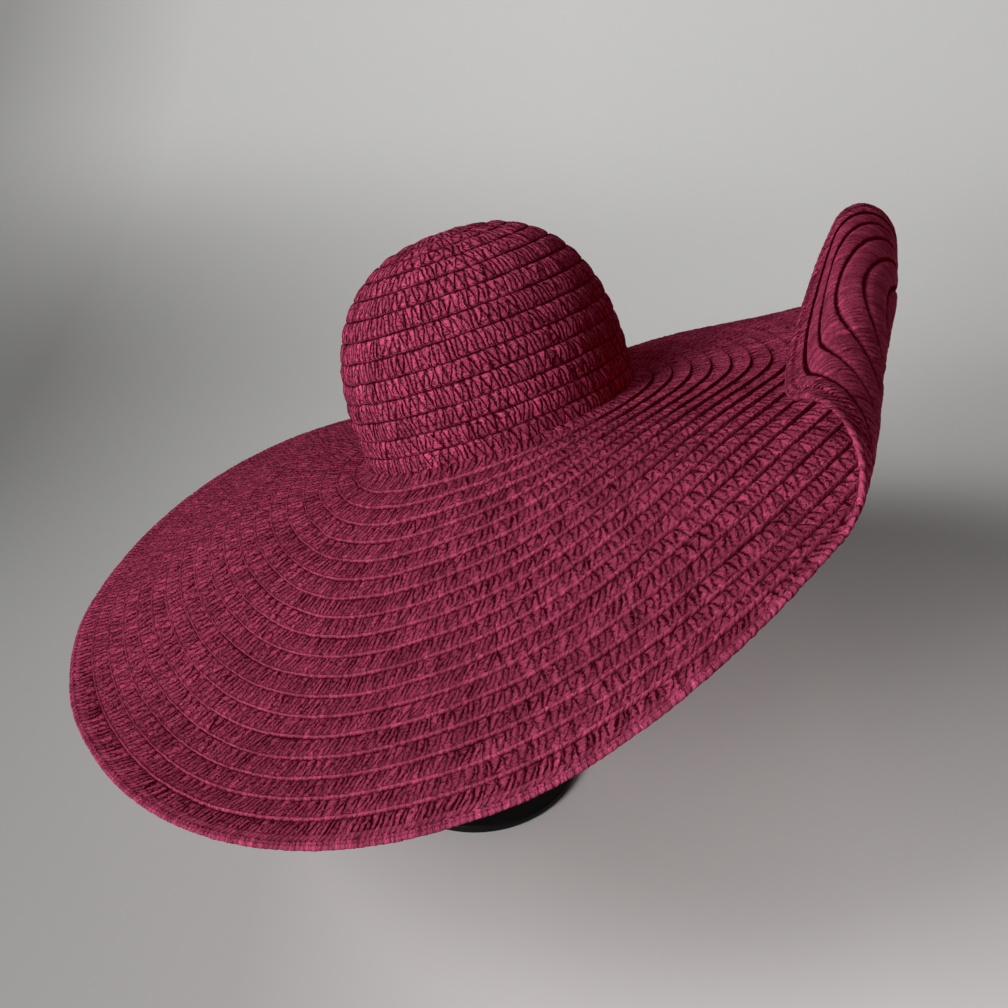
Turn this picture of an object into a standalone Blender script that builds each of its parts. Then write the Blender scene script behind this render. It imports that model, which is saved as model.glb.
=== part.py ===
"""A wide, floppy straw hat resting on a black display stand.

Run with: blender --background --python part.py, or from the text editor.
Units are metres and +Z is up. The origin is the centre of the underside of
the stand's foot. The viewer stands on the -Y side, with +X to the right.

The hat is modelled in a frame of its own: its origin is the centre of the
crown's base, +Z goes up through the crown, azimuth 0 points to +X and azimuth
90 to +Y, the far side. That frame is then leaned and lifted onto the stand.
"""
import math

import bpy
import numpy as np
from mathutils import Matrix, Vector

GAP = 0.0003                # clearance between neighbouring solids

# Straw braid: one strip, sewn round and round
ROW_PITCH = 0.0126          # width of the braid that each sewn row shows
BRIM_ROWS = 18              # plain rows from the crown to the hem
STRAW = 0.0020              # thickness of the sewn braid
HEM_WIDTH = 0.0176          # the last row, folded back under itself
HEM_THICKNESS = 0.0034      # the folded row is nearly twice as thick
HEM_GAP = 0.0005            # its clearance, wider because the roll twists the seam

# Crown
CROWN_HALF_WIDTH = 0.0915   # at the base, side to side, outside
CROWN_HALF_DEPTH = 0.0960   # at the base, front to back, outside
CROWN_HEIGHT = 0.1290
CROWN_SQUARENESS = 2.46     # 2 is an ellipse, more is boxier at the shoulder
CROWN_FLARE = 0.076         # share by which the crown widens towards its top
CROWN_LEAN_X = 0.0085       # how far the top has slumped to the right
CROWN_LEAN_Y = -0.032       # and towards the viewer

# How the hat sits
SEAT_HEIGHT = 0.3485        # crown base centre above the floor
SEAT_X = 0.0219
SEAT_Y = -0.0240
HAT_TILT = 20.5             # degrees, right side up
HAT_NOD = 21.6              # degrees, front side up

# Roll of the right edge of the brim, up and back over itself
ROLL_START = 0.2825         # how far out the roll starts, beside the crown
ROLL_TURN = 21.9            # degrees, the way in which the edge is pulled over
ROLL_SKEW = 0.57            # how much farther out it starts towards the back
ROLL_BOW = 0.090            # how much its starting line bows in at the ends
ROLL_RADIUS = 0.0109        # beside the crown, before the easing below
ROLL_OPENING = 0.0507       # growth of the radius for each metre to the back
ROLL_LEAST_RADIUS = 0.0100
ROLL_EASE = 0.018           # how gently the radius comes down to the least one
ROLL_LIMIT = 245.0          # degrees, past this the edge goes on straight
ROLL_SLOPE = -9.5           # degrees, slope of the brim where the roll starts

# Stand
FOOT_RADIUS = 0.0860
FOOT_HEIGHT = 0.0080
FOOT_BEVEL = 0.0020
POST_RADIUS = 0.0100

# Slope of the brim below the crown's base, in degrees, at five stations from
# the crown to the edge. Positive goes down.
BRIM_SLOPES = (
    # azimuth, crown, quarter, half, three_quarters, edge
    (0, 4, 8, 4, -18, -29),
    (45, -5, 3, 11, 11, 3),
    (90, -3, 9, 18, 21, 19),
    (135, -11, -4, 2, 5, 7),
    (180, -6, 3, 13, 16, 11),
    (225, 26, 33, 33, 27, 1),
    (270, 20, 29, 31, 27, 27),
    (315, 7, 4, 7, 21, -30),
)

# Mesh fineness
BRIM_SECTIONS = 88
ROLL_CROWDING = 0.6         # 0 spaces them evenly, towards 1 crowds them at the roll
CROWN_SECTIONS = 52
CROWN_BANDS = 11
PAD_BANDS = 6               # how many of them, from the top, the stand's pad fills
ROUND_SECTIONS = 48
SLOPE_STEPS = 60
LEAST_SHARE = 0.001         # lowest place on the crown where its direction is read
TOP_SHARE = 0.97            # where the crown's rings stop and a flat cap begins

BRIM_WIDTH = BRIM_ROWS * ROW_PITCH
BRIM_SPAN = BRIM_WIDTH + HEM_WIDTH


def azimuths(count):
    """Evenly spaced azimuths in radians, all the way round."""
    return np.arange(count) * 2 * math.pi / count


def brim_azimuths():
    """Azimuths of the brim's sections, closest together on the right, at the roll."""
    even = azimuths(BRIM_SECTIONS)
    return even - ROLL_CROWDING * np.sin(even)


def brim_slope(azimuth, share):
    """Slope in radians at a share of the way out, smooth round and outwards."""
    table = np.array(BRIM_SLOPES, float)[:, 1:]
    sections, stations = table.shape
    place = azimuth / (2 * math.pi) * sections
    first = int(math.floor(place))
    f = place - first
    before, here, after, beyond = (table[(first + k) % sections] for k in (-1, 0, 1, 2))
    row = 0.5 * (2 * here + (after - before) * f
                 + (2 * before - 5 * here + 4 * after - beyond) * f ** 2
                 + (3 * here - 3 * after + beyond - before) * f ** 3)
    station = np.clip(share, 0, 1) * (stations - 1)
    inner = np.minimum(np.floor(station).astype(int), stations - 2)
    ease = station - inner
    ease = ease * ease * (3 - 2 * ease)
    return np.radians(row[inner] * (1 - ease) + row[inner + 1] * ease)


def crown_oval(azimuth):
    """Point of the crown's base oval whose outward direction is the azimuth."""
    across = CROWN_HALF_WIDTH * math.cos(azimuth)
    along = CROWN_HALF_DEPTH * math.sin(azimuth)
    size = math.hypot(across, along)
    return CROWN_HALF_WIDTH * across / size, CROWN_HALF_DEPTH * along / size


def roll_over(points):
    """Roll the right edge of the brim up and back, as a cone that opens to the back."""
    turn = math.radians(ROLL_TURN)
    slope = math.radians(ROLL_SLOPE)
    pull = np.array([math.cos(turn), math.sin(turn), 0.0])
    across = points @ pull
    along = points @ np.array([-math.sin(turn), math.cos(turn), 0.0])
    bow = ROLL_BOW * along ** 2 / ROLL_START
    start = ROLL_START + ROLL_SKEW * along - bow
    over = ROLL_RADIUS + ROLL_OPENING * along - ROLL_LEAST_RADIUS
    radius = ROLL_LEAST_RADIUS + (over + np.sqrt(over ** 2 + ROLL_EASE ** 2)) / 2
    past = np.maximum(across - start, 0)
    angle = np.minimum(past / radius, math.radians(ROLL_LIMIT))
    straight = past - angle * radius
    inwards = radius * np.sin(angle) + straight * np.cos(angle) - past
    upwards = radius * (1 - np.cos(angle)) + straight * np.sin(angle)
    sideways = inwards * math.cos(slope) - upwards * math.sin(slope)
    lift = inwards * math.sin(slope) + upwards * math.cos(slope)
    return points + sideways[..., None] * pull + lift[..., None] * np.array([0.0, 0.0, 1.0])


def brim_surface(angles, reaches):
    """Middle of the brim's straw: one row of points for each reach out from the crown."""
    steps = np.linspace(0, BRIM_SPAN, SLOPE_STEPS + 1)
    rings = np.zeros((len(reaches), len(angles), 3))
    for column, azimuth in enumerate(angles):
        slope = brim_slope(azimuth, steps / BRIM_SPAN)
        run, drop = np.cos(slope), np.sin(slope)
        width = np.diff(steps)
        out = np.concatenate([[0], np.cumsum((run[1:] + run[:-1]) / 2 * width)])
        down = np.concatenate([[0], np.cumsum((drop[1:] + drop[:-1]) / 2 * width)])
        reach = np.interp(reaches, steps, out) + np.minimum(reaches, 0)
        x, y = crown_oval(azimuth)
        rings[:, column, 0] = x + reach * math.cos(azimuth)
        rings[:, column, 1] = y + reach * math.sin(azimuth)
        rings[:, column, 2] = -np.interp(reaches, steps, down) - STRAW / 2 - GAP
    return roll_over(rings)


def crown_surface(angles, shares):
    """Outside of the crown: one row of points for each share of the way to its top."""
    quarter = np.asarray(shares) * math.pi / 2
    rise = np.sin(quarter) ** (2 / CROWN_SQUARENESS)
    inset = np.cos(quarter) ** (2 / CROWN_SQUARENESS) * (1 + CROWN_FLARE * rise)
    rings = np.zeros((len(shares), len(angles), 3))
    rings[..., 0] = (CROWN_HALF_WIDTH * np.cos(angles) * inset[:, None]
                     + CROWN_LEAN_X * rise[:, None])
    rings[..., 1] = (CROWN_HALF_DEPTH * np.sin(angles) * inset[:, None]
                     + CROWN_LEAN_Y * rise[:, None])
    rings[..., 2] = CROWN_HEIGHT * rise[:, None]
    return rings


def normals(surface, angles, stations, step=0.0005):
    """Unit normals of a surface: on the brim's upper side, on the crown's inner side."""
    stations = np.asarray(stations, float)
    around = surface(angles + step, stations) - surface(angles - step, stations)
    outwards = surface(angles, stations + step) - surface(angles, stations - step)
    found = np.cross(outwards, around)
    return found / np.linalg.norm(found, axis=-1, keepdims=True)


def hat_frame():
    """Where the hat's own frame stands in the world."""
    lean = Matrix.Rotation(-math.radians(HAT_TILT), 4, "Y")
    nod = Matrix.Rotation(-math.radians(HAT_NOD), 4, "X")
    return Matrix.Translation((SEAT_X, SEAT_Y, SEAT_HEIGHT)) @ lean @ nod


def new_material(name, color, roughness, metallic):
    """A plain Principled material."""
    material = bpy.data.materials.new(name)
    material.use_nodes = True
    shader = material.node_tree.nodes["Principled BSDF"]
    shader.inputs["Base Color"].default_value = (*color, 1.0)
    shader.inputs["Roughness"].default_value = roughness
    shader.inputs["Metallic"].default_value = metallic
    material.diffuse_color = (*color, 1.0)
    return material


def new_object(name, points, faces, material, place):
    """A smooth-shaded mesh object in the scene."""
    mesh = bpy.data.meshes.new(name)
    mesh.from_pydata([tuple(p) for p in points], [], faces)
    mesh.shade_smooth()
    mesh.set_sharp_from_angle(angle=math.radians(40))
    mesh.materials.append(material)
    piece = bpy.data.objects.new(name, mesh)
    piece.matrix_world = place
    bpy.context.scene.collection.objects.link(piece)
    return piece


def bridge(lower, upper, count, flipped=False):
    """Triangles between two rings of the same count, given by their first indices.

    Flipped picks the other diagonal, so that rims which face each other match.
    """
    faces = []
    for k in range(count):
        a, b, c, d = lower + k, lower + (k + 1) % count, upper + (k + 1) % count, upper + k
        faces += [(a, b, d), (b, c, d)] if flipped else [(a, b, c), (a, c, d)]
    return faces


def ring_body(rings, closed_end=False):
    """Points and faces of a body whose outline is swept round through the rings.

    The rings go up the outside first. With closed_end the first and the last
    ring are capped, otherwise the last ring is joined to the first.
    """
    count = len(rings[0])
    points = [p for ring in rings for p in ring]
    faces = []
    for number in range(len(rings) - 1):
        faces += bridge(number * count, (number + 1) * count, count)
    last = (len(rings) - 1) * count
    if closed_end:
        faces.append(tuple(reversed(range(count))))
        faces.append(tuple(range(last, last + count)))
    else:
        faces += bridge(last, 0, count, flipped=True)
    return points, faces


def layered_body(surface, angles, stations, thickness):
    """A curved sheet of the given thickness, closed at its inner and outer rims."""
    middle = surface(angles, np.asarray(stations, float))
    half = normals(surface, angles, stations) * thickness / 2
    above = middle + half
    below = middle - half
    return ring_body(list(below) + list(above[::-1]))


def build_brim(material, place):
    """The plain rows, from under the crown's edge out to the hem."""
    reaches = [-STRAW, 0.0] + [ROW_PITCH * (row + 1) for row in range(BRIM_ROWS)]
    points, faces = layered_body(brim_surface, brim_azimuths(), reaches, STRAW)
    return new_object("brim", points, faces, material, place)


def build_brim_edge(material, place):
    """The folded last row, thicker than the rest."""
    reaches = [BRIM_WIDTH + HEM_GAP, BRIM_WIDTH + HEM_WIDTH / 2, BRIM_SPAN]
    points, faces = layered_body(brim_surface, brim_azimuths(), reaches, HEM_THICKNESS)
    return new_object("brim_edge", points, faces, material, place)


def crown_layer(angles, shares, depth):
    """Rings of the crown's surface, moved inwards by the depth, its base kept level."""
    shares = np.asarray(shares, float)
    inwards = normals(crown_surface, angles, np.maximum(shares, LEAST_SHARE))
    rings = crown_surface(angles, shares) + inwards * depth
    if shares[0] == 0:
        rings[0, :, 2] = 0.0
    return rings


def crown_shares():
    """Shares of the crown's rings, which leave a small disc at the top to be capped."""
    return np.linspace(0, TOP_SHARE, CROWN_BANDS + 1)


def build_crown(material, place):
    """The crown: one wall of straw with a closed top, open below."""
    angles = azimuths(CROWN_SECTIONS)
    outside = crown_layer(angles, crown_shares(), 0.0)
    inside = crown_layer(angles, crown_shares(), STRAW)
    points, faces = ring_body(list(inside[::-1]) + list(outside), closed_end=True)
    return new_object("crown", points, faces, material, place)


def pad_rings():
    """Rings of the pad, against the inside of the crown's top, with a flat underside."""
    shares = crown_shares()[-PAD_BANDS - 1:]
    rings = crown_layer(azimuths(CROWN_SECTIONS), shares, STRAW + GAP)
    rings[0, :, 2] = rings[0, :, 2].min()
    return rings


def build_head_pad(material, place):
    """The pad inside the top of the crown, which carries the hat."""
    points, faces = ring_body(list(pad_rings()), closed_end=True)
    return new_object("stand_head", points, faces, material, place)


def build_post(material, place):
    """The upright, cut to meet the leaning underside of the pad."""
    normal = (place.to_3x3() @ Vector((0, 0, 1))).normalized()
    centre = place @ Vector((0, 0, pad_rings()[0, 0, 2]))
    ring = [Vector((POST_RADIUS * math.cos(a), POST_RADIUS * math.sin(a), 0))
            for a in azimuths(ROUND_SECTIONS // 2)]
    low = [p + Vector((0, 0, FOOT_HEIGHT + GAP)) for p in ring]
    high = []
    for p in ring:
        level = centre.z - ((p.x - centre.x) * normal.x + (p.y - centre.y) * normal.y) / normal.z
        high.append(Vector((p.x, p.y, level - GAP / normal.z)))
    points, faces = ring_body([low, high], closed_end=True)
    return new_object("stand_post", points, faces, material, Matrix.Identity(4))


def build_foot(material):
    """The round foot, with a small bevel on both rims."""
    profile = ((FOOT_RADIUS - FOOT_BEVEL, 0.0), (FOOT_RADIUS, FOOT_BEVEL),
               (FOOT_RADIUS, FOOT_HEIGHT - FOOT_BEVEL), (FOOT_RADIUS - FOOT_BEVEL, FOOT_HEIGHT))
    rings = [[(radius * math.cos(a), radius * math.sin(a), height)
              for a in azimuths(ROUND_SECTIONS)] for radius, height in profile]
    points, faces = ring_body(rings, closed_end=True)
    return new_object("stand_foot", points, faces, material, Matrix.Identity(4))


def main():
    """Clear the scene and build every piece."""
    for old in list(bpy.data.objects):
        bpy.data.objects.remove(old)
    crown_straw = new_material("crown_straw", (0.42, 0.045, 0.13), 0.55, 0.0)
    brim_straw = new_material("brim_straw", (0.38, 0.040, 0.12), 0.55, 0.0)
    edge_straw = new_material("edge_straw", (0.45, 0.055, 0.15), 0.55, 0.0)
    foot_paint = new_material("foot_paint", (0.010, 0.010, 0.010), 0.60, 0.0)
    post_paint = new_material("post_paint", (0.012, 0.012, 0.012), 0.50, 0.0)
    pad_foam = new_material("pad_foam", (0.015, 0.015, 0.015), 0.85, 0.0)
    place = hat_frame()
    build_crown(crown_straw, place)
    build_brim(brim_straw, place)
    build_brim_edge(edge_straw, place)
    build_head_pad(pad_foam, place)
    build_post(post_paint, place)
    build_foot(foot_paint)


main()
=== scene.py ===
"""Looks of the wide straw hat on its black stand: sewn braid, materials, light, camera."""
import math

import bpy
import numpy as np
from mathutils import Matrix, Vector


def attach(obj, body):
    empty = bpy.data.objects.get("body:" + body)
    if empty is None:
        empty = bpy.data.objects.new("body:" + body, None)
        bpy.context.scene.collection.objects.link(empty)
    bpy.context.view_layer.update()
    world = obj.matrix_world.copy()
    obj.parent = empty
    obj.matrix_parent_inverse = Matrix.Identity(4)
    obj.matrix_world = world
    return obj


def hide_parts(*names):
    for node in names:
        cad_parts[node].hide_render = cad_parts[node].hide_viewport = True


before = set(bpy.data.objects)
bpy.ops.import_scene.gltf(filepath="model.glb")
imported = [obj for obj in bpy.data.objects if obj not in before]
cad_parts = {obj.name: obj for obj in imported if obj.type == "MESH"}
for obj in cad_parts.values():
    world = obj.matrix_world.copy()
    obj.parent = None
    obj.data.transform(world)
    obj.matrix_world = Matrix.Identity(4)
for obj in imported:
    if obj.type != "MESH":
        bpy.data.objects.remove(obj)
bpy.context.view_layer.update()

# ---------------------------------------------------------------- sizes, as in the CAD model
GAP = 0.0003                # between solids that touch
ROW_PITCH = 0.0126
BRIM_ROWS = 18
STRAW = 0.0020              # thickness of one layer of braid
HEM_WIDTH = 0.0176
HEM_GAP = 0.0005
CROWN_HALF_WIDTH = 0.0915
CROWN_HALF_DEPTH = 0.0960
CROWN_HEIGHT = 0.1290
CROWN_SQUARENESS = 2.46
CROWN_FLARE = 0.076
CROWN_LEAN_X = 0.0085
CROWN_LEAN_Y = -0.032
SEAT_HEIGHT = 0.3485
SEAT_X = 0.0219
SEAT_Y = -0.0240
HAT_TILT = 20.5
HAT_NOD = 21.6
ROLL_START = 0.2825         # how far out the brim starts to roll over, and how it does
ROLL_TURN = 21.9
ROLL_SKEW = 0.57
ROLL_BOW = 0.090
ROLL_RADIUS = 0.0109
ROLL_OPENING = 0.0507
ROLL_LEAST_RADIUS = 0.0100
ROLL_EASE = 0.018
ROLL_LIMIT = 245.0
ROLL_SLOPE = -9.5
FOOT_RADIUS = 0.0860
FOOT_HEIGHT = 0.0080
BRIM_SLOPES = (
    # azimuth, crown, quarter, half, three_quarters, edge
    (0, 4, 8, 4, -18, -29),
    (45, -5, 3, 11, 11, 3),
    (90, -3, 9, 18, 21, 19),
    (135, -11, -4, 2, 5, 7),
    (180, -6, 3, 13, 16, 11),
    (225, 26, 33, 33, 27, 1),
    (270, 20, 29, 31, 27, 27),
    (315, 7, 4, 7, 21, -30),
)
BRIM_WIDTH = BRIM_ROWS * ROW_PITCH
BRIM_SPAN = BRIM_WIDTH + HEM_WIDTH

TURN = 2 * math.pi
TABLE_SECTIONS = 720
TABLE_STEPS = 122
STEP = 0.0012               # spacing of the points that a normal is read from
STEP_TURN = STEP / 0.15     # the same as an angle, at a common distance from the middle
FILLET_RISE = 0.0035        # how softly the brim leaves the crown
FILLET_REACH = 0.012

# ---------------------------------------------------------------- sizes of the weave
MM = 0.001
GRAIN = 0.0040              # one folded straw to the next, along a row
CROWN_GRAIN = 0.0029
COLUMNS = (0.0, 0.16, 0.5, 0.84)    # columns of points in a folded straw, as shares of it
FEWER_COLUMNS = (0.0, 0.5)          # the same on the far side
GAP_REACH = 0.30            # how far from a gap between straws its slopes reach, in straws
LIP_SHIFT = 0.0009          # how far a row's lip is ahead of its body
BOW = 0.0008                # how far a straw bows at a curl of 1
EVENED = 0.4                # how much shallower the gaps are where the lips' shadow is painted
PRESSED = 0.2               # lines lower than this, in millimetres, lie on the surface
SMOOTH_EDGE = math.radians(35)      # edges that turn more than this stay sharp
DEEP = (0.018, 0.0006, 0.003)       # painted shade in the gaps and along the seams, and the stitches and flecks
BODY = (0.226, 0.0306, 0.0712)      # dyed straw
BRIGHT = (0.480, 0.0720, 0.1620)    # painted highlight on the lips, and bright specks

# How a row is folded: depth of the gaps in millimetres, how far the straws slant across
# the row and how much more or less every second one does, how far they bow, and how
# rough they are in millimetres.
BRIM_FOLDS = {"depth": 0.50, "slant": -0.22, "taper": 0.20, "curl": 0.4, "crumple": 0.15}
CROWN_FOLDS = {"depth": 0.52, "slant": 0.12, "taper": 0.20, "curl": 0.4, "crumple": 0.13}
UNDER_FOLDS = {"depth": 0.20, "slant": -0.10, "taper": 0.10, "curl": 0.9, "crumple": 0.03}
HEM_FOLDS = {"depth": 0.75, "slant": -0.36, "taper": 0.10, "curl": 0.9, "crumple": 0.09}

# Lines across a row: share of its width, height above the middle of the straw in
# millimetres, how deep the gaps between the folded straws are there, and how much of
# the line is the rolled lip at the row's free edge.
BRIM_LINES = (
    # across, height, gap, lip
    (-0.04, 0.02, 0.0, 0.0),
    (0.01, 0.10, 0.2, 0.0),
    (0.06, 0.35, 0.6, 0.0),
    (0.18, 0.75, 1.0, 0.0),
    (0.38, 1.15, 1.0, 0.0),
    (0.58, 1.40, 0.6, 0.0),
    (0.78, 1.50, 0.4, 0.0),
    (0.90, 1.60, 0.3, 0.3),
    (0.935, 2.20, 0.15, 1.0),
    (0.99, 2.05, 0.25, 1.0),
    (1.01, 0.02, 0.1, 0.3),
)
CROWN_LINES = (
    # across, height, gap, lip
    (-0.08, 0.05, 0.0, 0.0),
    (0.03, 0.15, 0.7, 0.0),
    (0.10, 0.95, 1.0, 0.0),
    (0.26, 1.45, 1.0, 0.0),
    (0.48, 1.65, 1.0, 0.0),
    (0.70, 1.50, 1.0, 0.0),
    (0.86, 1.25, 0.8, 0.0),
    (0.94, 1.10, 0.5, 0.5),
    (0.98, 0.95, 0.5, 0.9),
    (1.00, 0.05, 0.2, 0.0),
)
UNDER_LINES = (
    # across, height, gap, lip
    (1.05, 0.05, 0.0, 0.0),
    (0.98, 0.05, 0.0, 0.0),
    (0.91, 0.25, 0.2, 0.0),
    (0.85, 1.05, 0.6, 0.0),
    (0.70, 1.55, 1.0, 0.0),
    (0.42, 1.75, 1.0, 0.0),
    (0.20, 1.60, 0.8, 0.0),
    (0.09, 1.25, 0.5, 0.0),
    (0.04, 0.70, 0.3, 0.0),
    (-0.01, 0.05, 0.2, 0.0),
)
HEM_LINES = (
    # across, height, gap, lip
    (-0.06, 0.10, 0.0, 0.0),
    (0.03, 0.30, 0.5, 0.0),
    (0.11, 0.80, 1.0, 0.0),
    (0.26, 1.15, 1.0, 0.0),
    (0.42, 1.35, 0.8, 0.0),
    (0.50, 0.95, 0.4, 0.0),
    (0.57, 1.60, 0.4, 0.8),
    (0.68, 1.75, 0.5, 0.5),
    (0.75, 1.35, 0.4, 0.0),
    (0.82, 1.90, 0.5, 0.9),
    (0.93, 1.70, 0.6, 0.8),
    (1.00, 0.60, 0.4, 0.8),
    (1.00, -0.60, 0.4, 0.6),
    (0.93, -1.60, 0.6, 0.4),
    (0.74, -1.85, 0.8, 0.0),
    (0.62, -1.60, 0.5, 0.0),
    (0.58, -0.60, 0.2, 0.0),
    (0.52, -0.60, 0.2, 0.0),
    (0.49, -1.45, 0.5, 0.0),
    (0.28, -1.70, 0.8, 0.0),
    (0.02, -1.30, 0.3, 0.6),
    (-0.06, -0.30, 0.0, 0.3),
)


# ---------------------------------------------------------------- surfaces of the hat
def slope_table():
    """How far out and how far down the brim reaches, by azimuth and distance."""
    table = np.array(BRIM_SLOPES, float)[:, 1:]
    sections, stations = table.shape
    place = np.arange(TABLE_SECTIONS + 1) / TABLE_SECTIONS * sections
    first = np.floor(place).astype(int)
    f = (place - first)[:, None]
    before, here, after, beyond = (table[(first + k) % sections] for k in (-1, 0, 1, 2))
    rows = 0.5 * (2 * here + (after - before) * f
                  + (2 * before - 5 * here + 4 * after - beyond) * f ** 2
                  + (3 * here - 3 * after + beyond - before) * f ** 3)
    steps = np.linspace(0, BRIM_SPAN, TABLE_STEPS + 1)
    station = steps / BRIM_SPAN * (stations - 1)
    inner = np.minimum(np.floor(station).astype(int), stations - 2)
    ease = station - inner
    ease = ease * ease * (3 - 2 * ease)
    slope = np.radians(rows[:, inner] * (1 - ease) + rows[:, inner + 1] * ease)
    run, drop = np.cos(slope), np.sin(slope)
    width = BRIM_SPAN / TABLE_STEPS
    zero = np.zeros((len(place), 1))
    out = np.concatenate([zero, np.cumsum((run[:, 1:] + run[:, :-1]) / 2 * width, 1)], 1)
    down = np.concatenate([zero, np.cumsum((drop[:, 1:] + drop[:, :-1]) / 2 * width, 1)], 1)
    return out, down


OUT, DOWN = slope_table()


def lookup(table, azimuth, reach):
    """A value of the table between its entries."""
    a = (azimuth / TURN % 1.0) * TABLE_SECTIONS
    s = np.clip(reach / BRIM_SPAN, 0, 1) * TABLE_STEPS
    i = np.minimum(a.astype(int), TABLE_SECTIONS - 1)
    j = np.minimum(s.astype(int), TABLE_STEPS - 1)
    fa, fs = a - i, s - j
    return ((table[i, j] * (1 - fa) + table[i + 1, j] * fa) * (1 - fs)
            + (table[i, j + 1] * (1 - fa) + table[i + 1, j + 1] * fa) * fs)


def roll_over(points):
    """Roll the right edge of the brim up and back."""
    turn = math.radians(ROLL_TURN)
    slope = math.radians(ROLL_SLOPE)
    pull = np.array([math.cos(turn), math.sin(turn), 0.0])
    across = points @ pull
    along = points @ np.array([-math.sin(turn), math.cos(turn), 0.0])
    start = ROLL_START + ROLL_SKEW * along - ROLL_BOW * along ** 2 / ROLL_START
    over = ROLL_RADIUS + ROLL_OPENING * along - ROLL_LEAST_RADIUS
    radius = ROLL_LEAST_RADIUS + (over + np.sqrt(over ** 2 + ROLL_EASE ** 2)) / 2
    past = np.maximum(across - start, 0)
    angle = np.minimum(past / radius, math.radians(ROLL_LIMIT))
    straight = past - angle * radius
    inwards = radius * np.sin(angle) + straight * np.cos(angle) - past
    upwards = radius * (1 - np.cos(angle)) + straight * np.sin(angle)
    sideways = inwards * math.cos(slope) - upwards * math.sin(slope)
    lift = inwards * math.sin(slope) + upwards * math.cos(slope)
    return points + sideways[..., None] * pull + lift[..., None] * np.array([0.0, 0.0, 1.0])


def brim_point(azimuth, reach):
    """Middle of the brim's straw."""
    c, s = np.cos(azimuth), np.sin(azimuth)
    size = np.hypot(CROWN_HALF_WIDTH * c, CROWN_HALF_DEPTH * s)
    out = lookup(OUT, azimuth, reach) + np.minimum(reach, 0) + np.maximum(reach - BRIM_SPAN, 0)
    x = CROWN_HALF_WIDTH ** 2 * c / size + out * c
    y = CROWN_HALF_DEPTH ** 2 * s / size + out * s
    fillet = FILLET_RISE * np.clip(1 - reach / FILLET_REACH, 0, None) ** 2
    z = fillet - lookup(DOWN, azimuth, reach) - STRAW / 2 - GAP
    return roll_over(np.stack([x, y, z], -1))


def crown_shape(azimuth, share):
    """Outside of the crown, by share of the way from its base to its top."""
    quarter = share * math.pi / 2
    rise = np.sin(quarter) ** (2 / CROWN_SQUARENESS)
    inset = np.maximum(np.cos(quarter), 0) ** (2 / CROWN_SQUARENESS) * (1 + CROWN_FLARE * rise)
    x = CROWN_HALF_WIDTH * np.cos(azimuth) * inset + CROWN_LEAN_X * rise
    y = CROWN_HALF_DEPTH * np.sin(azimuth) * inset + CROWN_LEAN_Y * rise
    return np.stack([x, y, np.broadcast_to(CROWN_HEIGHT * rise, x.shape)], -1)


def crown_arc():
    """Distance up the crown's front for each share of the way."""
    shares = np.linspace(0, 1, 2001)
    sides = np.radians([225.0, 270.0, 315.0])
    points = crown_shape(sides[:, None], shares[None, :])
    steps = np.linalg.norm(np.diff(points, axis=1), axis=-1).mean(0)
    return shares, np.concatenate([[0], np.cumsum(steps)])


CROWN_SHARES, CROWN_ARC = crown_arc()


def crown_point(azimuth, reach):
    """Middle of the crown's straw; reach is negative, the distance up from the base."""
    share = np.interp(-reach, CROWN_ARC, CROWN_SHARES)
    return crown_shape(azimuth, share)


def crown_middle(azimuth, reach):
    """The crown's straw halfway through its wall."""
    return crown_point(azimuth, reach) - unit_normals(crown_point, azimuth, reach) * STRAW / 2


def unit_normals(surface, azimuth, reach):
    """Unit normals on the side that shows from above."""
    around = surface(azimuth + STEP_TURN, reach) - surface(azimuth - STEP_TURN, reach)
    outwards = surface(azimuth, reach + STEP) - surface(azimuth, reach - STEP)
    found = np.cross(outwards, around)
    return found / np.maximum(np.linalg.norm(found, axis=-1, keepdims=True), 1e-12)


def to_world(points):
    """From the hat's own frame to where it rests on the stand."""
    place = (Matrix.Translation((SEAT_X, SEAT_Y, SEAT_HEIGHT))
             @ Matrix.Rotation(-math.radians(HAT_TILT), 4, "Y")
             @ Matrix.Rotation(-math.radians(HAT_NOD), 4, "X"))
    matrix = np.array(place)
    return points @ matrix[:3, :3].T + matrix[:3, 3]


# ---------------------------------------------------------------- the braid
def row_columns(grains, sparse):
    """Columns of one row: place in straws, which gap is next to it and how near."""
    places, gaps, near = [], [], []
    for grain in range(grains):
        far = sparse is not None and sparse(grain / grains * TURN)
        for phase in FEWER_COLUMNS if far else COLUMNS:
            places.append(grain + phase)
            gaps.append(grain if phase < 0.5 else (grain + 1) % grains)
            near.append(max(0.0, 1 - min(phase, 1 - phase) / GAP_REACH))
    return np.array(places), np.array(gaps), np.array(near)


def smooth_noise(rng, count, waves):
    """Slow, closed noise of about unit size with at most the given number of waves."""
    t = np.arange(count) / count * TURN
    total = np.zeros(count)
    for wave in range(2, waves):
        total += rng.normal() * np.sin(wave * t + rng.uniform(0, TURN))
    return total / math.sqrt(max(1, waves - 2) / 2)


def eased(value, low, high):
    """Soft step from 0 at low to 1 at high."""
    t = np.clip((value - low) / (high - low), 0, 1)
    return t * t * (3 - 2 * t)


def brim_lip_shadow(azimuth):
    """Painted shadow of the rows' lips where the brim bends up, on its right, and a little left.
    """
    degrees = np.degrees(azimuth) % 360
    right = eased(degrees, 280, 330) + 1 - eased(degrees, 95, 125)
    left = 0.5 * eased(degrees, 145, 165) * (1 - eased(degrees, 200, 225))
    return right + left


def crown_lip_shadow(azimuth):
    """A little painted lip shadow on the crown, all the way round."""
    return np.full_like(azimuth, 0.65)


def full_lip_shadow(azimuth):
    """Full painted lip shadow all the way round, for rows seen from below."""
    return np.ones_like(azimuth)


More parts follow.
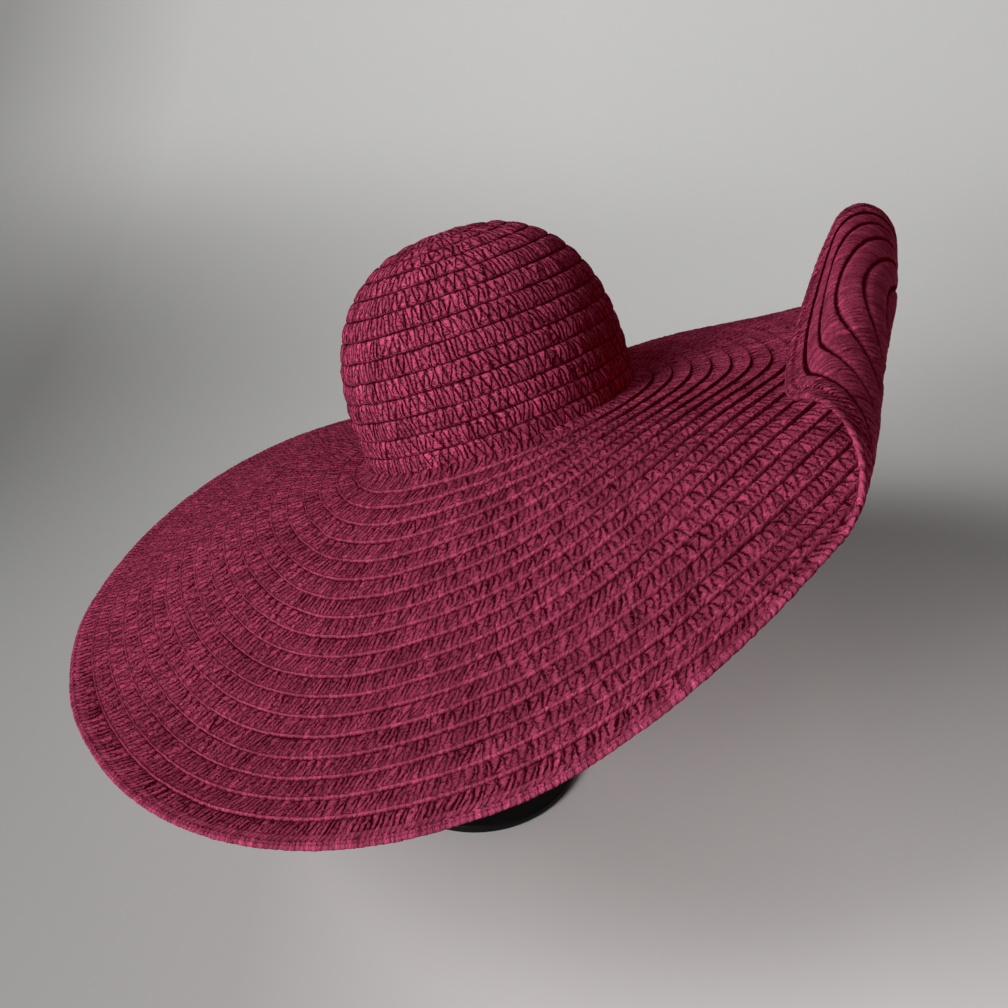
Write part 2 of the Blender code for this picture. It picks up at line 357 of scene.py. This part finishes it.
def braid_row(surface, start, width, lines, rng, number, depth, slant, taper, curl, crumple,
              side=1, sparse=None, grain=GRAIN, lip_shadow=full_lip_shadow, below=False):
    """One row of braid as a grid of points, with its map and its tones.

    The tones are how open the straw lies, which sets the painted shade in its gaps, its own tone,
    the share of lip and how much painted lip shadow it gets, which below limits to the row's
    underside.
    """
    ring = surface(np.linspace(0, TURN, 181), np.full(181, start + width / 2))
    length = np.linalg.norm(np.diff(ring, axis=0), axis=1).sum()
    grains = max(6, 2 * round(length / grain / 2))
    places, gaps, near = row_columns(grains, sparse)

    # How each straw differs: depth of its gap, shade, height, twist, place, slant and bow.
    strength = np.clip(rng.normal(0.62, 0.42, grains), 0.0, 1.3)
    strength *= np.clip(1 + 0.40 * smooth_noise(rng, grains, 60), 0.2, 1.6)
    tone = rng.uniform(0, 1, grains)
    crest = rng.normal(0, 0.12, grains)
    twist = rng.normal(0, 0.16, grains)
    jitter = rng.uniform(-0.20, 0.20, grains)
    lean = rng.normal(0, 0.12, grains) + 0.10 * smooth_noise(rng, grains, 18)
    lean += taper * np.where(np.arange(grains) % 2 == 0, 1.0, -1.0)
    bend = rng.normal(1.0, 0.5, grains)
    wander = 0.00020 * smooth_noise(rng, grains, 30) + rng.normal(0, 0.00010, grains)
    belly = 0.10 * smooth_noise(rng, grains, 26)
    owner = np.floor(places).astype(int) % grains

    # Where each point lies along and across the row.
    across, height, gap, lip = (column[:, None] for column in np.array(lines).T)
    lip = lip * np.ones_like(places)[None, :]
    body = np.clip(1 - lip, 0, 1)
    tilt = slant + lean[gaps][None, :]
    shift = (tilt * (across - 0.5) * width * body
             + (bend[gaps][None, :] * curl * BOW) * np.sin(TURN * (across - 0.1)) * body
             + LIP_SHIFT * lip + (jitter[gaps] * near)[None, :] * grain * body)
    azimuth = places[None, :] / grains * TURN + shift / length * TURN
    reach = start + across * width + wander[owner][None, :] * np.sign(width)

    # How far each point stands off the surface.
    cut = gap * near[None, :] * strength[gaps][None, :]
    # How much painted lip shadow each column gets; the gaps are also made shallower there.
    lip_shadowed = lip_shadow(places / grains * TURN)[None, :] * np.ones_like(height)
    if below:
        lip_shadowed = lip_shadowed * ((height < 0) & (across < 0.9))
    cut = cut * (1 - EVENED * lip_shadowed)
    loose = np.abs(height) >= PRESSED
    phase = places - np.floor(places) - 0.5
    raised = ((crest + belly)[owner] + twist[owner] * phase * 2)[None, :] * gap
    raised = raised + rng.normal(0, crumple, raised.shape) * loose
    lift = (np.abs(height) + raised - depth * cut) * MM
    lift = np.where(loose, np.maximum(lift, 0.1 * MM) * np.sign(height), height * MM)
    normals = unit_normals(surface, azimuth, reach)
    points = surface(azimuth, reach) + normals * (lift * side)[..., None]

    # Painted shade: darker low in the grooves and deep in the gaps between the straws.
    edge = np.clip((np.abs(height) - 0.05) / 0.40, 0, 1)
    cavity = np.clip(1 - 0.95 * cut, 0, 1) * edge
    tones = np.stack([cavity, np.broadcast_to(tone[owner], cavity.shape), lip, lip_shadowed], -1)
    u = np.broadcast_to(np.append(places, grains), (len(lines), len(places) + 1))
    v = np.broadcast_to(number + across, u.shape)
    return points, u, v, tones


def grid_piece(name, rows, material, closed=False):
    """One mesh from grids that run all the way round; closed ones also close across."""
    points, faces, loops, tones = [], [], [], []
    offset = 0
    for grid, u, v, tone in rows:
        lines, count = grid.shape[:2]
        index = offset + np.arange(lines * count).reshape(lines, count)
        column = np.arange(count)
        ahead = (column + 1) % count
        last = lines if closed else lines - 1
        here = np.arange(last)
        onward = (here + 1) % lines
        a, b = index[here][:, column], index[onward][:, column]
        c, d = index[onward][:, ahead], index[here][:, ahead]
        faces.append(np.stack([a, b, c, d], -1).reshape(-1, 4))
        ua, ud = u[here][:, column], u[here][:, column + 1]
        ub, uc = u[onward][:, column], u[onward][:, column + 1]
        va, vb = v[here][:, column], v[onward][:, column]
        maps = [np.stack([ua, va], -1), np.stack([ub, vb], -1),
                np.stack([uc, vb], -1), np.stack([ud, va], -1)]
        loops.append(np.stack(maps, -2).reshape(-1, 2))
        points.append(grid.reshape(-1, 3))
        tones.append(tone.reshape(-1, 4))
        offset += lines * count
    points = to_world(np.concatenate(points))
    faces = np.concatenate(faces)
    mesh = bpy.data.meshes.new(name)
    mesh.vertices.add(len(points))
    mesh.vertices.foreach_set("co", points.astype(np.float32).ravel())
    mesh.loops.add(faces.size)
    mesh.loops.foreach_set("vertex_index", faces.astype(np.int32).ravel())
    mesh.polygons.add(len(faces))
    mesh.polygons.foreach_set("loop_start", np.arange(0, faces.size, 4, dtype=np.int32))
    mesh.update(calc_edges=True)
    layer = mesh.uv_layers.new(name="row_map")
    layer.data.foreach_set("uv", np.concatenate(loops).astype(np.float32).ravel())
    colors = mesh.color_attributes.new(name="tones", type="FLOAT_COLOR", domain="POINT")
    colors.data.foreach_set("color", np.concatenate(tones).astype(np.float32).ravel())
    mesh.validate()
    mesh.shade_smooth()
    mesh.materials.append(material)
    piece = bpy.data.objects.new(name, mesh)
    bpy.context.scene.collection.objects.link(piece)
    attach(piece, "root")
    return piece


# ---------------------------------------------------------------- materials
class Nodes:
    """Short-hand for building a material's node tree."""

    def __init__(self, name):
        self.material = bpy.data.materials.new(name)
        self.material.use_nodes = True
        self.tree = self.material.node_tree
        self.shader = self.tree.nodes["Principled BSDF"]

    def add(self, kind, values=None, **settings):
        node = self.tree.nodes.new(kind)
        for key, value in settings.items():
            setattr(node, key, value)
        for key, value in (values or {}).items():
            if isinstance(value, bpy.types.NodeSocket):
                self.tree.links.new(value, node.inputs[key])
            else:
                node.inputs[key].default_value = value
        return node

    def math(self, operation, a, b=0.0, clamp=False):
        node = self.add("ShaderNodeMath", {0: a, 1: b}, operation=operation, use_clamp=clamp)
        return node.outputs[0]

    def mix(self, factor, a, b, blend="MIX"):
        node = self.add("ShaderNodeMix", data_type="RGBA", blend_type=blend)
        for socket, value in ((node.inputs[0], factor), (node.inputs[6], a), (node.inputs[7], b)):
            if isinstance(value, bpy.types.NodeSocket):
                self.tree.links.new(value, socket)
            else:
                socket.default_value = value
        return node.outputs[2]

    def ramp(self, factor, stops):
        node = self.add("ShaderNodeValToRGB", {0: factor})
        ramp = node.color_ramp
        while len(ramp.elements) < len(stops):
            ramp.elements.new(0.5)
        for element, (place, color) in zip(ramp.elements, stops):
            element.position = place
            element.color = color if len(color) == 4 else (*color, 1.0)
        return node.outputs[0]

    def to(self, socket, value):
        if isinstance(value, bpy.types.NodeSocket):
            self.tree.links.new(value, self.shader.inputs[socket])
        else:
            self.shader.inputs[socket].default_value = value


def scaled(color, share):
    """The color, that much lighter."""
    return tuple(share * value for value in color)


def straw_material(name, body, seed, gap_shadows=1.0, reach=0.75, leaf=0.5, dots=0.6, lip_highlight=0.85,
                   mottle=1.0, lip_shadow_width=0.062, gain=1.25):
    """Dyed straw with painted shade in the gaps between the folded straws, dark flecks, a painted
    highlight on the lip and a faint painted red glow.

    How strong each feature is: the painted shade in the gaps (gap_shadows), which ends at reach
    across the row, the painted shading that rounds each straw (leaf), the stitches (dots), the
    lip's painted highlight (lip_highlight) and the flecks (mottle). Where the lips' shadow is
    painted, lip_shadow_width of the row is dark and the rest is painted gain times lighter.
    """
    deep, bright = (*DEEP, 1.0), (*BRIGHT, 1.0)
    n = Nodes(name)
    tones = n.add("ShaderNodeAttribute", attribute_type="GEOMETRY", attribute_name="tones")
    split = n.add("ShaderNodeSeparateColor", {0: tones.outputs["Color"]})
    cavity, own, lip = split.outputs[0], split.outputs[1], split.outputs[2]
    body_share = n.math("SUBTRACT", 1.0, lip, clamp=True)
    uv = n.add("ShaderNodeUVMap", uv_map="row_map").outputs[0]
    axes = n.add("ShaderNodeSeparateXYZ", {0: uv})
    along, across = axes.outputs[0], n.math("FRACT", axes.outputs[1])

    def noise(scale, detail, roughness, shift=0.0):
        place = n.add("ShaderNodeMapping", {"Vector": uv, "Location": (seed + shift, shift, 0),
                                            "Scale": (*scale, 1.0)})
        found = n.add("ShaderNodeTexNoise", {"Vector": place.outputs[0], "Scale": 1.0,
                                             "Detail": detail, "Roughness": roughness})
        return found.outputs[0]

    def band(value, low, high, start=0.0, end=1.0):
        found = n.add("ShaderNodeMapRange", {0: value, 1: low, 2: high, 3: start, 4: end},
                      interpolation_type="SMOOTHSTEP")
        return found.outputs[0]

    def sway(scale, size, shift=0.0):
        return n.math("MULTIPLY", n.math("SUBTRACT", noise(scale, 2.0, 0.55, shift), 0.5), size)

    # Painted shade in the fine gaps between the straws, wavy, uneven and broken.
    warp = n.math("ADD", sway((0.75, 3.4), 0.85), sway((2.4, 9.0), 0.45, 81.0))
    place = n.math("ADD", n.math("ADD", along, warp), 0.5)
    nearest = n.math("ABSOLUTE", n.math("SUBTRACT", n.math("FRACT", place), 0.5))
    spread = band(noise((0.33, 1.7), 3.0, 0.6, 7.0), 0.36, 0.66, 0.0, 0.34 * gap_shadows)
    gap_shadow = n.add("ShaderNodeMapRange", {0: nearest, 1: 0.0, 3: 1.0, 4: 0.0},
                  interpolation_type="SMOOTHSTEP")
    n.tree.links.new(n.math("ADD", spread, 0.015), gap_shadow.inputs[2])
    ends = band(n.math("ADD", across, sway((0.8, 0.9), 1.0, 41.0)), reach - 0.16, reach + 0.12,
                1.0, 0.0)
    broken = band(noise((1.6, 5.0), 2.0, 0.5, 61.0), 0.38, 0.56, 0.10, 1.0)
    gap_shadow = n.math("MULTIPLY", n.math("MULTIPLY", gap_shadow.outputs[0], body_share), ends)
    gap_shadow = n.math("MULTIPLY", gap_shadow, broken)

    # Dark flecks and bright specks.
    fleck = band(noise((2.6, 7.0), 2.0, 0.6, 13.0), 0.54, 0.68, 0.0, 0.85 * mottle)
    speck = band(noise((2.3, 7.5), 2.0, 0.6, 23.0), 0.55, 0.70, 0.0, 0.65 * mottle)
    fleck = n.math("MULTIPLY", fleck, n.math("SUBTRACT", 1.0, n.math("MULTIPLY", lip, 0.7)))
    dark = n.math("MAXIMUM", n.math("MULTIPLY", gap_shadow, 0.92), fleck)

    # The straw with painted shade by how open it lies, painted shading that rounds each straw, a
    # painted highlight on the lips, painted lip shadows along the seams, and stitches.
    between = tuple(0.45 * (d + b) for d, b in zip(DEEP, body))
    base = n.ramp(cavity, ((0.0, DEEP), (0.40, between), (0.85, body), (1.0, scaled(body, 1.06))))
    # Painted shading that rounds each straw: lighter in its middle, darker at its edges.
    rounding_shade = band(nearest, 0.02, 0.32, 1 - leaf, 1 + 0.5 * leaf)
    base = n.mix(body_share, base, rounding_shade, "MULTIPLY")
    spun = band(noise((5.0, 2.0), 2.0, 0.5, 71.0), 0.38, 0.60, 0.45 * lip_highlight, lip_highlight)
    lip_shadow = tones.outputs["Alpha"]
    # Painted highlight on the lips, uneven along them and weaker where the lips' shadow is
    # painted.
    pale = n.math("MULTIPLY", lip, n.math("SUBTRACT", 1.0, n.math("MULTIPLY", lip_shadow, 0.75)))
    base = n.mix(n.math("MULTIPLY", pale, spun), base, bright)
    # Painted shadow of the lips along the seams; where it is painted, the rest of the row is
    # painted lighter by gain.
    away = n.math("PINGPONG", axes.outputs[1], 0.5)
    seam = n.math("MULTIPLY", band(away, 0.33 * lip_shadow_width, lip_shadow_width, 1.0, 0.0), lip_shadow)
    base = n.mix(1.0, base, band(lip_shadow, 0.0, 1.0, 1.0, gain), "MULTIPLY")
    base = n.mix(seam, base, deep)
    stitch = band(n.math("PINGPONG", n.math("MULTIPLY", along, 2.0), 0.5), 0.10, 0.30, dots, 0.15)
    line = band(n.math("ABSOLUTE", n.math("SUBTRACT", across, 0.90)), 0.010, 0.040, 1.0, 0.0)
    base = n.mix(n.math("MULTIPLY", line, stitch), base, deep)
    base = n.mix(dark, base, deep)
    base = n.mix(n.math("MULTIPLY", speck, body_share), base, bright)

    # Uneven dye: by straw, along the straws, in fine fibres and in wide patches.
    for value, low, high, least, most in (
            (own, 0.0, 1.0, 0.72, 1.22), (noise((3.5, 2.2), 3.0, 0.6, 3.0), 0.3, 0.7, 0.72, 1.28),
            (noise((7.0, 13.0), 2.0, 0.6, 53.0), 0.3, 0.7, 0.62, 1.38),
            (noise((0.06, 0.5), 2.0, 0.5, 31.0), 0.3, 0.7, 0.88, 1.12)):
        shade = n.add("ShaderNodeMapRange", {0: value, 1: low, 2: high, 3: least, 4: most})
        base = n.mix(1.0, base, shade.outputs[0], "MULTIPLY")
    n.to("Base Color", base)

    n.to("Roughness", n.math("ADD", n.math("MULTIPLY", own, 0.16), 0.56))
    rise = n.math("SUBTRACT", noise((2.6, 5.5), 4.0, 0.80, 17.0), n.math("MULTIPLY", dark, 0.7))
    rise = n.math("ADD", rise, n.math("MULTIPLY", n.math("SUBTRACT", rounding_shade, 1.0), 0.6))
    n.to("Normal", n.add("ShaderNodeBump", {"Height": rise, "Strength": 1.0,
                                            "Distance": 0.0016}).outputs[0])
    n.to("Specular IOR Level", 0.0)
    # A faint red glow: painted light that keeps the shade deep red.
    n.to("Emission Color", (1.0, 0.0, 0.01, 1.0))
    n.to("Emission Strength", 0.020)
    return n.material


def black_material(name, tone, roughness, grain_scale, strength):
    """A dark finish with fine grain and slight wear."""
    n = Nodes(name)
    where = n.add("ShaderNodeTexCoord")
    grain = n.add("ShaderNodeTexNoise", {"Vector": where.outputs["Object"], "Scale": grain_scale,
                                         "Detail": 4.0, "Roughness": 0.6})
    wear = n.add("ShaderNodeTexNoise", {"Vector": where.outputs["Object"], "Scale": 14.0,
                                        "Detail": 5.0, "Roughness": 0.65})
    shade = n.ramp(wear.outputs[0], ((0.35, (tone, tone, tone)),
                                     (0.75, (tone * 1.7, tone * 1.7, tone * 1.6))))
    n.to("Base Color", shade)
    spread = 0.16
    rough = n.math("MULTIPLY_ADD", grain.outputs[0], spread)
    rough.node.inputs[2].default_value = roughness - spread / 2
    n.to("Roughness", rough)
    bump = n.add("ShaderNodeBump", {"Height": grain.outputs[0], "Strength": strength,
                                    "Distance": 0.0003})
    n.to("Normal", bump.outputs[0])
    n.to("Specular IOR Level", 0.18)
    return n.material


# ---------------------------------------------------------------- pieces of the hat
def build_brim(materials):
    """Rows of the brim, above and below, joined into a few meshes."""
    rng = np.random.default_rng(21)

    def behind(azimuth):
        """The far side of the brim, from above."""
        return 0.22 * math.pi < azimuth < 0.82 * math.pi

    def unseen(azimuth):
        """All of the underside but the rolled side."""
        return 0.28 * math.pi < azimuth < 1.58 * math.pi

    for part, rows in enumerate((range(0, 9), range(9, 14), range(14, BRIM_ROWS))):
        grids = [braid_row(brim_point, row * ROW_PITCH, ROW_PITCH, BRIM_LINES, rng, row,
                           sparse=behind, lip_shadow=brim_lip_shadow, **BRIM_FOLDS) for row in rows]
        piece = grid_piece("brim_braid_%d" % (part + 1), grids, materials["brim"])
        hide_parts("brim")
    for part, rows in enumerate((range(0, 11), range(11, BRIM_ROWS))):
        grids = [braid_row(brim_point, row * ROW_PITCH, ROW_PITCH, UNDER_LINES, rng, row,
                           side=-1, sparse=unseen, **UNDER_FOLDS) for row in rows]
        piece = grid_piece("brim_under_%d" % (part + 1), grids, materials["under"])
        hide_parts("brim")


def build_hem(materials):
    """The folded last row."""
    rng = np.random.default_rng(5)
    grid = braid_row(brim_point, BRIM_WIDTH + HEM_GAP, HEM_WIDTH - HEM_GAP, HEM_LINES, rng,
                     BRIM_ROWS, below=True, **HEM_FOLDS)
    piece = grid_piece("hem_braid", [grid], materials["edge"], closed=True)
    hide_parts("brim_edge")


def build_crown(materials):
    """Rows of the crown, from its base up, the round tip and a plain inside."""
    rng = np.random.default_rng(8)
    total = CROWN_ARC[-1]
    rows = int(total / ROW_PITCH - 0.35)
    grids = [braid_row(crown_middle, -(row + 1) * ROW_PITCH, ROW_PITCH, CROWN_LINES, rng,
                       30 - row, grain=CROWN_GRAIN, lip_shadow=crown_lip_shadow, **CROWN_FOLDS)
             for row in range(rows)]
    piece = grid_piece("crown_braid", grids, materials["crown"])
    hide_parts("crown")

    sides = 48
    left = 1.05 * (total - rows * ROW_PITCH)
    shares = np.linspace(0, 1, 9)[:-1]
    reach = -(total - left * (1 - shares))
    a, r = np.meshgrid(np.linspace(0, TURN, sides + 1)[:-1], reach)
    lift = (0.2 + 1.1 * np.sqrt(1 - shares ** 2))[:, None] * MM
    tip = crown_middle(a, r) + unit_normals(crown_point, a, r) * lift[..., None]
    # A little painted shade on the tip, through its first tone.
    tones = np.ones(tip.shape[:2] + (4,)) * (0.8, 0.8, 0.0, 0.0)
    u = np.broadcast_to(np.linspace(0, 18.0, sides + 1), (len(reach), sides + 1))
    v = np.broadcast_to(60 + shares[:, None], u.shape)
    button = grid_piece("crown_tip", [(tip[::-1], u, v, tones)], materials["crown"])
    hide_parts("crown")

    sides = 96
    reach = -np.linspace(0.0, total * 0.999, 30)
    a, r = np.meshgrid(np.linspace(0, TURN, sides + 1)[:-1], reach)
    inside = crown_middle(a, r) - unit_normals(crown_point, a, r) * STRAW / 2
    # Painted shade inside the crown, through its first tone.
    tones = np.ones(inside.shape[:2] + (4,)) * (0.7, 0.7, 0.0, 0.0)
    u = np.broadcast_to(np.linspace(0, 140.0, sides + 1), (len(reach), sides + 1))
    v = np.broadcast_to(-reach[:, None] / ROW_PITCH, u.shape)
    lining = grid_piece("crown_inside", [(inside, u, v, tones)], materials["crown"])
    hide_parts("crown")


def turned(name, profile, sides, material):
    """A turned solid from (radius, height) pairs, bottom centre to top centre."""
    angles = np.arange(sides) / sides * TURN
    points, faces = [], []
    for radius, height in profile:
        points += [(radius * math.cos(t), radius * math.sin(t), height) for t in angles]
    for ring in range(len(profile) - 1):
        for k in range(sides):
            m = (k + 1) % sides
            faces.append((ring * sides + k, ring * sides + m, (ring + 1) * sides + m,
                          (ring + 1) * sides + k))
    faces.append(tuple(reversed(range(sides))))
    faces.append(tuple(range((len(profile) - 1) * sides, len(profile) * sides)))
    mesh = bpy.data.meshes.new(name)
    mesh.from_pydata(points, [], faces)
    mesh.validate()
    mesh.shade_smooth()
    mesh.set_sharp_from_angle(angle=SMOOTH_EDGE)
    mesh.materials.append(material)
    piece = bpy.data.objects.new(name, mesh)
    bpy.context.scene.collection.objects.link(piece)
    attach(piece, "root")
    return piece


def build_stand(materials):
    """The round foot with its eased rims; the post and the pad keep their CAD shape."""
    ease = 0.0020
    steps = [math.radians(a) for a in (0, 22.5, 45, 67.5, 90)]
    low = [(FOOT_RADIUS - ease + ease * math.sin(a), ease - ease * math.cos(a)) for a in steps]
    high = [(FOOT_RADIUS - ease + ease * math.cos(a), FOOT_HEIGHT - ease + ease * math.sin(a))
            for a in steps]
    foot = turned("foot_disc", low + high, 160, materials["foot"])
    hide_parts("stand_foot")
    for node, key in (("stand_post", "post"), ("stand_head", "pad")):
        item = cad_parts[node]
        item.data.materials.clear()
        item.data.materials.append(materials[key])
        item.data.shade_smooth()
        item.data.set_sharp_from_angle(angle=SMOOTH_EDGE)


# ---------------------------------------------------------------- surroundings
def stage_paint_and_shade(name, roughness):
    """Matt paint with painted shade: darker softly to the left and where the floor turns up."""
    n = Nodes(name)
    where = n.add("ShaderNodeTexCoord").outputs["Object"]
    axes = n.add("ShaderNodeSeparateXYZ", {0: where})
    depth = n.math("ADD", axes.outputs[1], axes.outputs[2])

    def greys(reach, *stops):
        across = n.add("ShaderNodeMapRange", {0: axes.outputs[0], 1: -reach, 2: reach}).outputs[0]
        tint = (1.0, 1.0, 0.99)
        return n.ramp(across, [(place, tuple(grey * t for t in tint)) for place, grey in stops])

    def passed(low, high):
        return n.add("ShaderNodeMapRange", {0: depth, 1: low, 2: high},
                     interpolation_type="SMOOTHSTEP").outputs[0]

    # Painted light and shade: darker to the left and lighter to the right, for the floor, the
    # bend and the wall.
    floor = greys(0.6, (0.08, 0.31), (0.36, 0.44), (0.53, 0.68), (0.75, 0.87))
    turn = greys(0.6, (0.04, 0.20), (0.22, 0.37), (0.50, 0.60), (0.90, 0.80))
    wall = greys(0.88, (0.0, 0.34), (0.20, 0.66), (0.58, 0.83), (1.0, 0.91))
    base = n.mix(passed(0.05, 0.45), floor, turn)
    base = n.mix(passed(0.55, 1.45), base, wall)
    n.to("Base Color", base)
    n.to("Roughness", roughness)
    n.to("Specular IOR Level", 0.15)
    return n.material


def build_stage():
    """Floor that curves up into a wall behind."""
    material = stage_paint_and_shade("stage_paint_and_shade", 0.9)
    half, front, back, bend, top = 7.0, -6.0, 2.60, 1.60, 4.0
    profile = [(front, 0.0), (back - bend, 0.0)]
    profile += [(back - bend + bend * math.sin(a), bend - bend * math.cos(a))
                for a in np.linspace(0, math.pi / 2, 24)[1:]]
    profile.append((back, top))
    points, faces = [], []
    for y, z in profile:
        points += [(-half, y, z), (half, y, z)]
    for k in range(len(profile) - 1):
        faces.append((2 * k, 2 * k + 1, 2 * k + 3, 2 * k + 2))
    mesh = bpy.data.meshes.new("stage_floor")
    mesh.from_pydata(points, [], faces)
    mesh.shade_smooth()
    mesh.materials.append(material)
    floor = bpy.data.objects.new("stage_floor", mesh)
    bpy.context.scene.collection.objects.link(floor)


def area_light(name, place, target, size, power):
    """A square soft light that faces its target."""
    light = bpy.data.lights.new(name, "AREA")
    light.size = size
    light.energy = power
    light.color = (1.0, 0.99, 0.98)
    lamp = bpy.data.objects.new(name, light)
    lamp.location = place
    lamp.rotation_euler = (Vector(target) - Vector(place)).to_track_quat("-Z", "Y").to_euler()
    bpy.context.scene.collection.objects.link(lamp)


def build_light():
    """Two soft lights from the front left, and almost nothing from elsewhere."""
    hat = (0.0, 0.0, 0.35)
    area_light("key_light", (-2.90, -1.57, 3.40), hat, 1.8, 125)
    area_light("side_light", (-2.95, -2.95, 2.05), hat, 1.6, 155)
    world = bpy.data.worlds.new("studio")
    world.use_nodes = True
    background = world.node_tree.nodes["Background"]
    background.inputs[0].default_value = (0.82, 0.82, 0.82, 1.0)
    background.inputs[1].default_value = 0.01
    bpy.context.scene.world = world


def build_camera():
    """At the photograph's height and angle."""
    sensor, frame_width, focal_length, look_down = 36.0, 1008, 1263.9, 37.05
    camera = bpy.data.cameras.new("camera")
    camera.sensor_width = sensor
    camera.sensor_fit = "HORIZONTAL"
    camera.lens = sensor * focal_length / frame_width
    camera.clip_end = 50
    eye = bpy.data.objects.new("camera", camera)
    eye.location = (0.0233, -0.7270, 0.8108)
    eye.rotation_euler = (math.radians(90 - look_down), 0.0, 0.0)
    bpy.context.scene.collection.objects.link(eye)
    bpy.context.scene.camera = eye


def main():
    """Build the whole scene."""
    bpy.context.scene.view_settings.view_transform = "Standard"
    build_camera()
    materials = {
        "brim": straw_material("straw_brim", BODY, 1.0, gap_shadows=0.85, reach=0.60),
        # The underside and the crown are the same straw painted lighter: painted light.
        "under": straw_material("straw_under", scaled(BODY, 1.55), 3.0, gap_shadows=0.10, leaf=0.15,
                                dots=0.0, lip_highlight=0.2, mottle=0.5, lip_shadow_width=0.11),
        "crown": straw_material("straw_crown", scaled(BODY, 1.25), 5.0, gap_shadows=0.40, reach=1.2,
                                leaf=0.80, dots=0.9, lip_highlight=0.15),
        "edge": straw_material("straw_edge", BODY, 9.0, leaf=0.7, lip_shadow_width=0.14, gain=2.0),
        "foot": black_material("foot_black", 0.0025, 0.60, 900.0, 0.15),
        "post": black_material("post_black", 0.008, 0.45, 700.0, 0.10),
        "pad": black_material("pad_cover", 0.012, 0.85, 1600.0, 0.50),
    }
    build_brim(materials)
    build_hem(materials)
    build_crown(materials)
    build_stand(materials)
    build_stage()
    build_light()


main()
